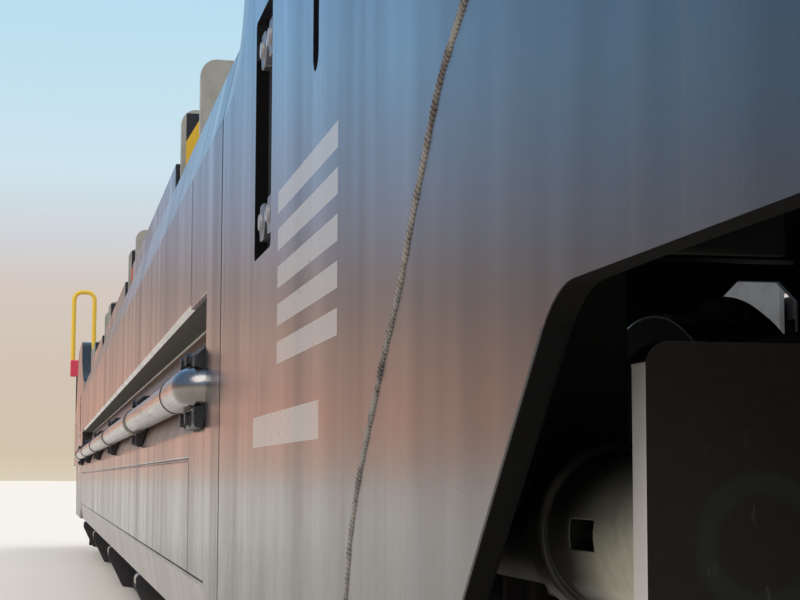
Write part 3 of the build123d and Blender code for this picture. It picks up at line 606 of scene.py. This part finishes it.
finishes = {
    "wagonBlack": wagonPaint(),
    # the bogies' and underframe's black is darker than the wagon's paint, as painted shade under the wagon
    # and behind the arches
    "shadedBogieBlack": dustyPaint("shadedBogieBlack", (0.009, 0.0085, 0.0085), (0.055, 0.043, 0.033), 0.60, gloss=0.2),
    "springSteel": springSteel(),
    "wheelSteel": wheelSteel(),
    "bufferSteel": bufferSteel(),
    "cylinderSteel": cylinderSteel(),
    "plateDark": slotPlate(),
    "silverTube": silverTube(),
    "castBlack": dustyPaint("castBlack", (0.014, 0.014, 0.016), (0.07, 0.06, 0.05), 0.42, 0.35, 20),
    "trayPaint": trayPaint(),
    "deckGrip": deckGrip(),
    "earPaint": earPaint(),
    "signalRed": signalPaint("signalRed", (0.70, 0.035, 0.08), (0.60, 0.06, 0.09)),
    "loopYellow": signalPaint("loopYellow", (0.82, 0.53, 0.03), (0.74, 0.50, 0.08)),
    "boltZinc": dustyPaint("boltZinc", (0.26, 0.26, 0.27), (0.17, 0.15, 0.13), 0.36, 0.4, 40),
    # the recess seam's pale colour is a painted highlight on the lit corner
    "seamHighlight": dustyPaint("seamHighlight", (0.50, 0.47, 0.43), (0.30, 0.27, 0.24), 0.5, 0.4, 12),
    "weldMetal": weldMetal(),
}
print("finishes made:", len(finishes))


# frame nodes with soft edges
edgeLook = {  # node start: (finish, slot, width of the rounded edge in metres, or 0)
    "wall_": ("wagonBlack", "wagon_black", 0.003),
    "cheek_": ("wagonBlack", "wagon_black", 0.003),
    "bulkheads": ("wagonBlack", "wagon_black", 0.002),
    "end_frame_": ("shadedBogieBlack", "wagon_black", 0.003),
    "end_decks": ("deckGrip", "wagon_black", 0.002),
    "floor_frame": ("shadedBogieBlack", "wagon_black", 0.004),
    "headstocks": ("wagonBlack", "wagon_black", 0.004),
    "corner_steps": ("shadedBogieBlack", "wagon_black", 0.002),
    "loop_posts": ("wagonBlack", "wagon_black", 0.004),
    "loop_blocks": ("signalRed", "signal_red", 0.008),
    "hand_loops": ("loopYellow", "loop_yellow", 0),
    "bogie_frame_": ("shadedBogieBlack", "bogie_black", 0.006),
    "brake_gear_": ("shadedBogieBlack", "bogie_black", 0.003),
    "axleboxes_": ("shadedBogieBlack", "bogie_black", 0.005),
    "air_reservoirs": ("shadedBogieBlack", "bogie_black", 0),
    "wheels_": ("wheelSteel", "wheel_steel", 0.003),
    "axle_": ("wheelSteel", "wheel_steel", 0),
    "buffer_cases": ("bufferSteel", "buffer_steel", 0.003),
    "buffer_heads": ("bufferSteel", "buffer_steel", 0.003),
    "draw_hooks": ("bufferSteel", "buffer_steel", 0.006),
    "screw_couplings": ("bufferSteel", "buffer_steel", 0.003),
    "end_cocks": ("bufferSteel", "buffer_steel", 0.003),
    "lock_cylinders": ("cylinderSteel", "cylinder_steel", 0.0015),
    "slot_plates": ("plateDark", "plate_dark", 0.002),
    "lock_shaft_": ("silverTube", "shaft_silver", 0.002),
    "shaft_bearings_": ("castBlack", "bearing_black", 0.004),
    "hinge_brackets": ("castBlack", "bearing_black", 0.002),
    "tray_pan": ("trayPaint", "tray_grey", 0.004),
    "tray_posts": ("trayPaint", "tray_grey", 0.004),
    "kingpin_stand": ("trayPaint", "tray_grey", 0.003),
    "tray_ears": ("earPaint", "ear_beige", 0.004),
}
edgeRules = {
    "merge": 0.00002,  # corners nearer than this are one
    "flat": math.radians(0.5),
    "smooth": math.radians(32),
    "crease": math.radians(9),  # the sides' long creases are this faint
    "long": 0.3,
    "shortest": 5,  # an edge under this many widths stays sharp
}


def softEdged(node, finishName, slotName, width):
    # a merged copy of a frame node, its flat faces joined and its sharp edges rounded
    source = frame["nodes"][node]
    bm = bmesh.new()
    bm.from_mesh(source.data)
    bmesh.ops.remove_doubles(bm, verts=bm.verts, dist=edgeRules["merge"])
    bmesh.ops.dissolve_limit(
        bm, angle_limit=edgeRules["flat"], verts=bm.verts, edges=bm.edges, use_dissolve_boundaries=False)
    weight = bm.edges.layers.float.new("bevel_weight_edge")
    side = node.startswith(("wall_", "cheek_"))
    for edge in bm.edges:
        if len(edge.link_faces) == 2 and edge.calc_length() > width * edgeRules["shortest"]:
            faint = side and edge.calc_length() > edgeRules["long"]
            if edge.calc_face_angle(0.0) > edgeRules["crease" if faint else "smooth"]:
                edge[weight] = 1.0
    mesh = bpy.data.meshes.new(node + "_look")
    bm.to_mesh(mesh)
    bm.free()
    mesh.polygons.foreach_set("use_smooth", [True] * len(mesh.polygons))
    mesh.set_sharp_from_angle(angle=edgeRules["crease" if side else "smooth"])
    mesh.materials.append(finishes[finishName])
    piece = bpy.data.objects.new(node + "_look", mesh)
    bpy.context.scene.collection.objects.link(piece)
    if width:
        rounding = piece.modifiers.new("rounding", "BEVEL")
        rounding.width = width
        rounding.segments = 2
        rounding.limit_method = "WEIGHT"
        rounding.use_clamp_overlap = False
        shading = piece.modifiers.new("evenShading", "WEIGHTED_NORMAL")
        shading.mode = "FACE_AREA"
        shading.weight = 100
        shading.keep_sharp = True
    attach(piece, source["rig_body"])
    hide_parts(node)


dressed = [node for node in sorted(frame["nodes"]) if not node.startswith("springs_")]
for node in dressed:
    start = max((key for key in edgeLook if node.startswith(key)), key=len)
    softEdged(node, *edgeLook[start])
print("frame nodes dressed:", len(dressed))


# piece helpers
def keepPiece(bm, name, finishName, body):
    # the finished mesh as one visible piece that rides on its body
    bmesh.ops.recalc_face_normals(bm, faces=bm.faces)
    mesh = bpy.data.meshes.new(name)
    bm.to_mesh(mesh)
    bm.free()
    mesh.polygons.foreach_set("use_smooth", [True] * len(mesh.polygons))
    mesh.set_sharp_from_angle(angle=edgeRules["smooth"])
    mesh.materials.append(finishes[finishName])
    piece = bpy.data.objects.new(name, mesh)
    bpy.context.scene.collection.objects.link(piece)
    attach(piece, body)
    return piece


def aimed(point, direction):
    # a place whose own Z looks along the direction
    turn = Vector(direction).to_track_quat("Z", "Y").to_matrix().to_4x4()
    return Matrix.Translation(point) @ turn


def addRound(bm, matrix, radius, depth, segments, topRadius=None):
    # a closed cylinder, or a cone where the top has a radius of its own, with its middle at the place
    top = radius if topRadius is None else topRadius
    bmesh.ops.create_cone(
        bm, cap_ends=True, segments=segments, radius1=radius, radius2=top, depth=depth, matrix=matrix)


def addBolt(bm, point, direction, look):
    # hexagon head with a chamfered top on a round washer, standing on the point
    seat = aimed(point, direction)
    across, height = look["across"], look["height"]
    for segments, low, high, wide, narrow in (
            (20, 0.0, 0.25, 0.72, 0.70), (6, 0.2, 0.85, 0.577, 0.577), (6, 0.85, 1.0, 0.577, 0.48)):
        middle = seat @ Matrix.Translation((0, 0, height * (low + high) / 2))
        addRound(bm, middle, across * wide, height * (high - low), segments, across * narrow)


def ringEdges(bm, matrix, radius, segments):
    # a filled circle that starts a wire or a tube; its edges always come in the same order
    ring = bmesh.ops.create_circle(bm, cap_ends=False, segments=segments, radius=radius, matrix=matrix)
    edges = list(dict.fromkeys(edge for vert in ring["verts"] for edge in vert.link_edges))
    bmesh.ops.contextual_create(bm, geom=edges)
    return edges, ring["verts"]


def only(kind, items):
    # the vertices or the edges among what an operator made
    return [item for item in items if isinstance(item, kind)]


# coil springs
springLook = {
    "low": up(0.400),
    "high": up(0.640),
    "seat": 0.012,
    "seatRadius": 0.06,
    "coils": [
        {"turns": 5.5, "wire": 0.011, "radius": 0.0485, "hand": 1},
        {"turns": 7, "wire": 0.0075, "radius": 0.026, "hand": -1},
    ],
    "stepsPerTurn": 20,
    "offset": 0.255,  # from the axle
    "out": 1.0,
}


def addCoil(bm, coil, low, high):
    # a wire wound round the Z axis between two heights
    low, high = low + coil["wire"], high - coil["wire"]
    steps = int(coil["turns"] * springLook["stepsPerTurn"])
    start = Matrix.Translation((coil["radius"], 0, low)) @ Matrix.Rotation(math.pi / 2, 4, "X")
    edges, verts = ringEdges(bm, start, coil["wire"], segments=8)
    made = bmesh.ops.spin(
        bm, geom=edges + verts, cent=(0, 0, 0), axis=(0, 0, coil["hand"]), dvec=(0, 0, (high - low) / steps),
        angle=coil["turns"] * 2 * math.pi, steps=steps, use_merge=False)
    bmesh.ops.contextual_create(bm, geom=only(bmesh.types.BMEdge, made["geom_last"]))


def oneSpring():
    # outer and inner coil of opposite hand between two round seats, round the Z axis
    look = springLook
    bm = bmesh.new()
    for coil in look["coils"]:
        addCoil(bm, coil, look["low"] + look["seat"], look["high"] - look["seat"])
    for z in (look["low"] + look["seat"] / 2, look["high"] - look["seat"] / 2):
        addRound(bm, Matrix.Translation((0, 0, z)), look["seatRadius"], look["seat"], segments=28)
    mesh = bpy.data.meshes.new("oneSpring")
    bm.to_mesh(mesh)
    bm.free()
    return mesh


def addCopy(bm, mesh, matrix):
    # one more copy of a small mesh, put in its place
    before = len(bm.verts)
    bm.from_mesh(mesh)
    bm.verts.ensure_lookup_table()
    bmesh.ops.transform(bm, matrix=matrix, verts=bm.verts[before:])


def bogieAxles():
    # each bogie's letter, with where its two axles lie along the wagon
    for end, sx in (("a", 1), ("b", -1)):
        yield end, [places["pivot"] * sx + axle for axle in (-places["axle"], places["axle"])]


springMesh = oneSpring()
for end, axles in bogieAxles():
    bm = bmesh.new()
    for x in axles:
        for offset in (-springLook["offset"], springLook["offset"]):
            for y in (-springLook["out"], springLook["out"]):
                addCopy(bm, springMesh, Matrix.Translation((x + offset, y, 0)))
    coils = keepPiece(bm, f"coilSprings_{end}", "springSteel", f"bogie_{end}")
    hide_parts(f"springs_{end}")
print("coil springs wound")


# bolts on the frame, the bogies and the walls
def mirrored(points, direction):
    # the same bolts at both ends and on both sides
    for sx in (1, -1):
        for sy in (1, -1):
            for x, y, z in points:
                yield (x * sx, y * sy, z), (direction[0] * sx, direction[1] * sy, direction[2])


slotEndLook = {
    "radius": 0.0135, "topRadius": 0.012, "height": 0.004,
    "out": 1.475, "rows": (1.029, 1.294), "columns": (6.345, 6.437),
}
boltLook = {
    "cover": {"across": 0.022, "height": 0.014, "ring": 0.082, "count": 6, "out": 1.118},
    "buffer": {"across": 0.036, "height": 0.022, "reach": (0.140, 0.100), "along": 9.07},
    "hook": {"across": 0.036, "height": 0.020, "reach": (0.118, 0.100), "along": 9.067, "middle": 1.04},
    "saddle": {
        "across": 0.024, "height": 0.012, "rows": (0.882, 0.764),
        "blocks": (-5.38, -5.25, -3.2, -1.07, 1.07, 3.2, 5.25, 5.38),
    },
}


def roundPoints(centre, radius, count):
    # points on a circle that faces along Y
    for index in range(count):
        turn = index * 2 * math.pi / count
        yield centre[0] + radius * math.cos(turn), centre[1], centre[2] + radius * math.sin(turn)


def slotBoltEnds():
    look = slotEndLook
    bm = bmesh.new()
    points = [(x, look["out"], up(height)) for x in look["columns"] for height in look["rows"]]
    for point, direction in mirrored(points, (0, 1, 0)):
        middle = Vector(point) + Vector(direction) * look["height"] / 2
        addRound(bm, aimed(middle, direction), look["radius"], look["height"], 20, look["topRadius"])
    keepPiece(bm, "slotBoltEnds", "boltZinc", "frame")


def endBolts():
    bm = bmesh.new()
    look = boltLook["buffer"]
    across, rise = look["reach"]
    height = up(places["bufferHeight"])
    points = [(look["along"], places["buffer"] + sy * across, height + sz * rise)
              for sy in (-1, 1) for sz in (-1, 1)]
    for point, direction in mirrored(points, (1, 0, 0)):
        addBolt(bm, point, direction, look)

    look = boltLook["hook"]
    across, rise = look["reach"]
    points = [(look["along"], across, up(look["middle"]) + sz * rise) for sz in (-1, 1)]
    for point, direction in mirrored(points, (1, 0, 0)):
        addBolt(bm, point, direction, look)
    keepPiece(bm, "endBolts", "bufferSteel", "frame")


def coverBolts():
    look = boltLook["cover"]
    for end, axles in bogieAxles():
        bm = bmesh.new()
        for x in axles:
            for sy in (-1, 1):
                centre = (x, look["out"] * sy, up(places["axleHeight"]))
                for point in roundPoints(centre, look["ring"], look["count"]):
                    addBolt(bm, point, (0, sy, 0), look)
        keepPiece(bm, f"coverBolts_{end}", "boltZinc", f"bogie_{end}")


def saddleBolts():
    look = boltLook["saddle"]
    for side, sy in (("near", -1), ("far", 1)):
        bm = bmesh.new()
        for x in look["blocks"]:
            for height in look["rows"]:
                addBolt(bm, (x, places["shaft"] * sy, up(height)), (0, sy, 0), look)
        keepPiece(bm, f"saddleBolts_{side}", "castBlack", f"{side}_wall")


slotBoltEnds()
endBolts()
coverBolts()
saddleBolts()
print("bolts set")


# weld beads: rows of small overlapping scales along a line on the cheeks
weldLook = {
    "radius": 0.0078,
    "taper": 0.84,
    "step": 0.0056,
    "overlap": 1.3,
    "sink": 0.0048,
    "wobble": 0.05,
    "cheekSeam": [  # distance along the wagon and height above the rail
        (9.02, 1.165), (8.60, 1.165), (8.20, 1.150), (7.95, 1.115), (7.80, 1.065), (7.693, 1.012),
        (7.649, 0.991), (7.605, 0.969), (7.567, 0.935), (7.527, 0.899), (7.485, 0.861), (7.459, 0.834),
        (7.418, 0.797), (7.37, 0.764), (7.32, 0.719), (7.273, 0.682), (7.223, 0.633), (7.183, 0.581),
        (7.16, 0.519), (7.145, 0.44), (7.14, 0.325),
    ],
}


def alongLine(points, step):
    # evenly spaced places on a smooth line through the points, with the way it runs there
    curve = bpy.data.curves.new("weldLine", "CURVE")
    curve.dimensions = "3D"
    spline = curve.splines.new("NURBS")
    spline.points.add(len(points) - 1)
    for spot, point in zip(spline.points, points):
        spot.co = (*point, 1)
    spline.order_u = 3
    spline.use_endpoint_u = True
    spline.resolution_u = 12
    holder = bpy.data.objects.new("weldLine", curve)
    line = bpy.data.meshes.new_from_object(holder)
    corners = [vert.co.copy() for vert in line.vertices]
    bpy.data.objects.remove(holder)
    bpy.data.curves.remove(curve)
    bpy.data.meshes.remove(line)
    left = 0.0
    for start, end in zip(corners, corners[1:]):
        run = (end - start).length
        while left < run:
            yield start.lerp(end, left / run), (end - start).normalized()
            left += step
        left -= run


def addWeld(bm, points, look):
    for index, (point, way) in enumerate(alongLine(points, look["step"])):
        wobble = 1.0 + look["wobble"] * math.sin(index * 0.9) * math.sin(index * 0.23)
        radius = look["radius"] * wobble
        depth = look["step"] * look["overlap"]
        addRound(bm, aimed(point, way), radius, depth, 9, radius * look["taper"])


def cheekWelds():
    look = weldLook
    for end, sx in (("a", 1), ("b", -1)):
        for side, sy in (("near", -1), ("far", 1)):
            bm = bmesh.new()
            y = (places["side"] - look["sink"]) * sy
            addWeld(bm, [(x * sx, y, up(height)) for x, height in look["cheekSeam"]], look)
            keepPiece(bm, f"cheekWeld_{end}_{side}", "weldMetal", "frame")


cheekWelds()
print("weld beads laid")


# a pale seam in the upper corner of each wall's recess as a painted highlight, elbows into the wall, and
# dark rings on the shafts as painted shadow
seamLook = {"radius": 0.0035, "out": 1.3975, "height": 1.0085, "length": 10.964}
elbowLook = {"along": 5.392, "radius": 0.0402, "bend": 0.046, "steps": 12, "tail": 0.03}
ringLook = {"along": 5.034, "radius": 0.0416, "width": 0.010}


def addElbow(bm, look, sx, sy):
    # a quarter bend from the shaft's end and a straight tail into the wall
    start = (look["along"] * sx, places["shaft"] * sy, up(places["shaftHeight"]))
    edges, verts = ringEdges(bm, aimed(start, (sx, 0, 0)), look["radius"], segments=40)
    made = bmesh.ops.spin(
        bm, geom=edges + verts, cent=(look["along"] * sx, (places["shaft"] - look["bend"]) * sy, 0),
        axis=(0, 0, -sx * sy), angle=math.pi / 2, steps=look["steps"], use_merge=False)
    tail = bmesh.ops.extrude_edge_only(bm, edges=only(bmesh.types.BMEdge, made["geom_last"]))["geom"]
    bmesh.ops.translate(bm, vec=(0, -look["tail"] * sy, 0), verts=only(bmesh.types.BMVert, tail))
    rim = [edge for edge in only(bmesh.types.BMEdge, tail) if edge.is_boundary]
    bmesh.ops.contextual_create(bm, geom=rim)


def wallTrim():
    for side, sy in (("near", -1), ("far", 1)):
        look = seamLook
        bm = bmesh.new()
        middle = (0, look["out"] * sy, up(look["height"]))
        addRound(bm, aimed(middle, (1, 0, 0)), look["radius"], look["length"], segments=10)
        keepPiece(bm, f"recessSeam_{side}", "seamHighlight", f"{side}_wall")

        bm = bmesh.new()
        for sx in (1, -1):
            addElbow(bm, elbowLook, sx, sy)
        keepPiece(bm, f"shaftElbows_{side}", "silverTube", f"{side}_wall")

        # the dark rings are painted shadow at the step near each shaft's end
        look = ringLook
        bm = bmesh.new()
        for sx in (1, -1):
            middle = (sx * look["along"], places["shaft"] * sy, up(places["shaftHeight"]))
            addRound(bm, aimed(middle, (sx, 0, 0)), look["radius"], look["width"], segments=40)
        keepPiece(bm, f"shaftShadeRings_{side}", "castBlack", f"{side}_wall")


wallTrim()
print("recess seams, shaft elbows and rings added")


# camera, light, floor
cameraLook = {
    "place": (9.0015, -1.7921, 0.6719), "yaw": 78.69, "pitch": 5.743, "roll": 0.1715,
    "lens": 80.1, "sensor": 36, "nearest": 0.02, "furthest": 2000,
}
camera = bpy.data.objects.new("photoCamera", bpy.data.cameras.new("photoCamera"))
bpy.context.scene.collection.objects.link(camera)
camera.data.sensor_width = cameraLook["sensor"]
camera.data.lens = cameraLook["lens"]
camera.data.clip_start = cameraLook["nearest"]
camera.data.clip_end = cameraLook["furthest"]
camera.matrix_world = (
    Matrix.Translation(cameraLook["place"])
    @ Matrix.Rotation(math.radians(cameraLook["yaw"]), 4, "Z")
    @ Matrix.Rotation(math.radians(90 + cameraLook["pitch"]), 4, "X")
    @ Matrix.Rotation(math.radians(cameraLook["roll"]), 4, "Z")
)
bpy.context.scene.camera = camera

floorLook = {"half": 400.0, "colour": (0.90, 0.84, 0.76), "roughness": 0.9}


def studioFloor():
    bm = bmesh.new()
    bmesh.ops.create_grid(bm, x_segments=1, y_segments=1, size=floorLook["half"])
    mesh = bpy.data.meshes.new("studioFloor")
    bm.to_mesh(mesh)
    bm.free()
    sockets = {"Base Color": floorLook["colour"], "Roughness": floorLook["roughness"]}
    mesh.materials.append(newFinish("studioFloor").surface(sockets))
    floor = bpy.data.objects.new("studioFloor", mesh)
    bpy.context.scene.collection.objects.link(floor)


studioFloor()

# what is seen behind the wagon and in its gloss, by the sine of the height angle: the camera sees
# the pale colours only, and the near side's gloss the deep ones
skyLook = {
    "low": -0.05,
    "high": 0.45,
    "pale": [
        (0.09, (0.72, 0.64, 0.50)),
        (0.13, (0.64, 0.55, 0.42)),
        (0.22, (0.64, 0.55, 0.46)),
        (0.31, (0.66, 0.58, 0.53)),
        (0.37, (0.63, 0.66, 0.70)),
        (0.44, (0.62, 0.77, 0.85)),
        (0.60, (0.50, 0.74, 0.87)),
        (0.85, (0.42, 0.66, 0.88)),
    ],
    "deep": [
        (0.08, (0.70, 0.63, 0.58)),
        (0.11, (0.77, 0.53, 0.43)),
        (0.17, (0.80, 0.46, 0.35)),
        (0.25, (0.62, 0.42, 0.35)),
        (0.31, (0.46, 0.36, 0.33)),
        (0.41, (0.43, 0.50, 0.67)),
        (0.57, (0.36, 0.66, 1.00)),
        (0.80, (0.29, 0.54, 1.00)),
    ],
    "turn": (0.0, 0.045),  # towards the near side the colours turn deep between these
    "lift": 0.22,
    "away": (0.10, 0.42),  # and further that way they darken again
    "fall": 0.50,
    "studio": (0.92, 0.95, 1.0),  # all that isn't seen by the camera or in gloss lights with this
    "level": 0.68,
}


def studioWorld():
    look = skyLook
    world = bpy.data.worlds.new("studioWorld")
    bpy.context.scene.world = world
    f = Finish(world)
    spot = f.node("TexCoord", out="Generated")
    nearward = f.node("SeparateXYZ", None, {0: spot}, out="Y") * -1
    rise = f.node("SeparateXYZ", None, {0: spot}, out="Z")
    share = f.node("MapRange", None, {"Value": rise, "From Min": look["low"], "From Max": look["high"]})
    pale = f.node("ValToRGB", {"stops": look["pale"]}, {"Fac": share}, out="Color")
    deep = f.node("ValToRGB", {"stops": look["deep"]}, {"Fac": share}, out="Color")
    rays = [f.node("LightPath", out=f"Is {kind} Ray") for kind in ("Camera", "Glossy", "Transmission")]
    turned = f.smooth(nearward, *look["turn"]) * (1.0 - rays[0])
    away = f.smooth(nearward, *look["away"]) * turned
    strength = 1.0 + turned * look["lift"] - away * look["fall"]
    backdrop = f.node("Background", None, {"Color": f.tint(turned, pale, deep), "Strength": strength})
    plain = f.node("Background", None, {"Color": look["studio"], "Strength": look["level"]})
    seen = f.node("Clamp", None, {"Value": sum(rays)})
    both = f.node("MixShader", None, {0: seen, 1: plain, 2: backdrop})
    f.node("OutputWorld", None, {"Surface": both})


studioWorld()

lampLook = {
    "key": {"from": (0.45, -0.62, 0.75), "spread": 40.0, "power": 1.4, "colour": (1.0, 0.95, 0.88)},
    "rear": {"from": (-0.25, 0.75, 0.70), "spread": 70.0, "power": 0.7, "colour": (0.95, 0.97, 1.0)},
}
for name, look in lampLook.items():
    data = bpy.data.lights.new(name, "SUN")
    data.angle = math.radians(look["spread"])
    data.energy = look["power"]
    data.color = look["colour"]
    lamp = bpy.data.objects.new(name, data)
    lamp.matrix_world = aimed((0, 0, 10), look["from"])
    bpy.context.scene.collection.objects.link(lamp)
bpy.context.scene.view_settings.view_transform = "Standard"
print("camera, lamps and floor set")

bpy.context.view_layer.update()
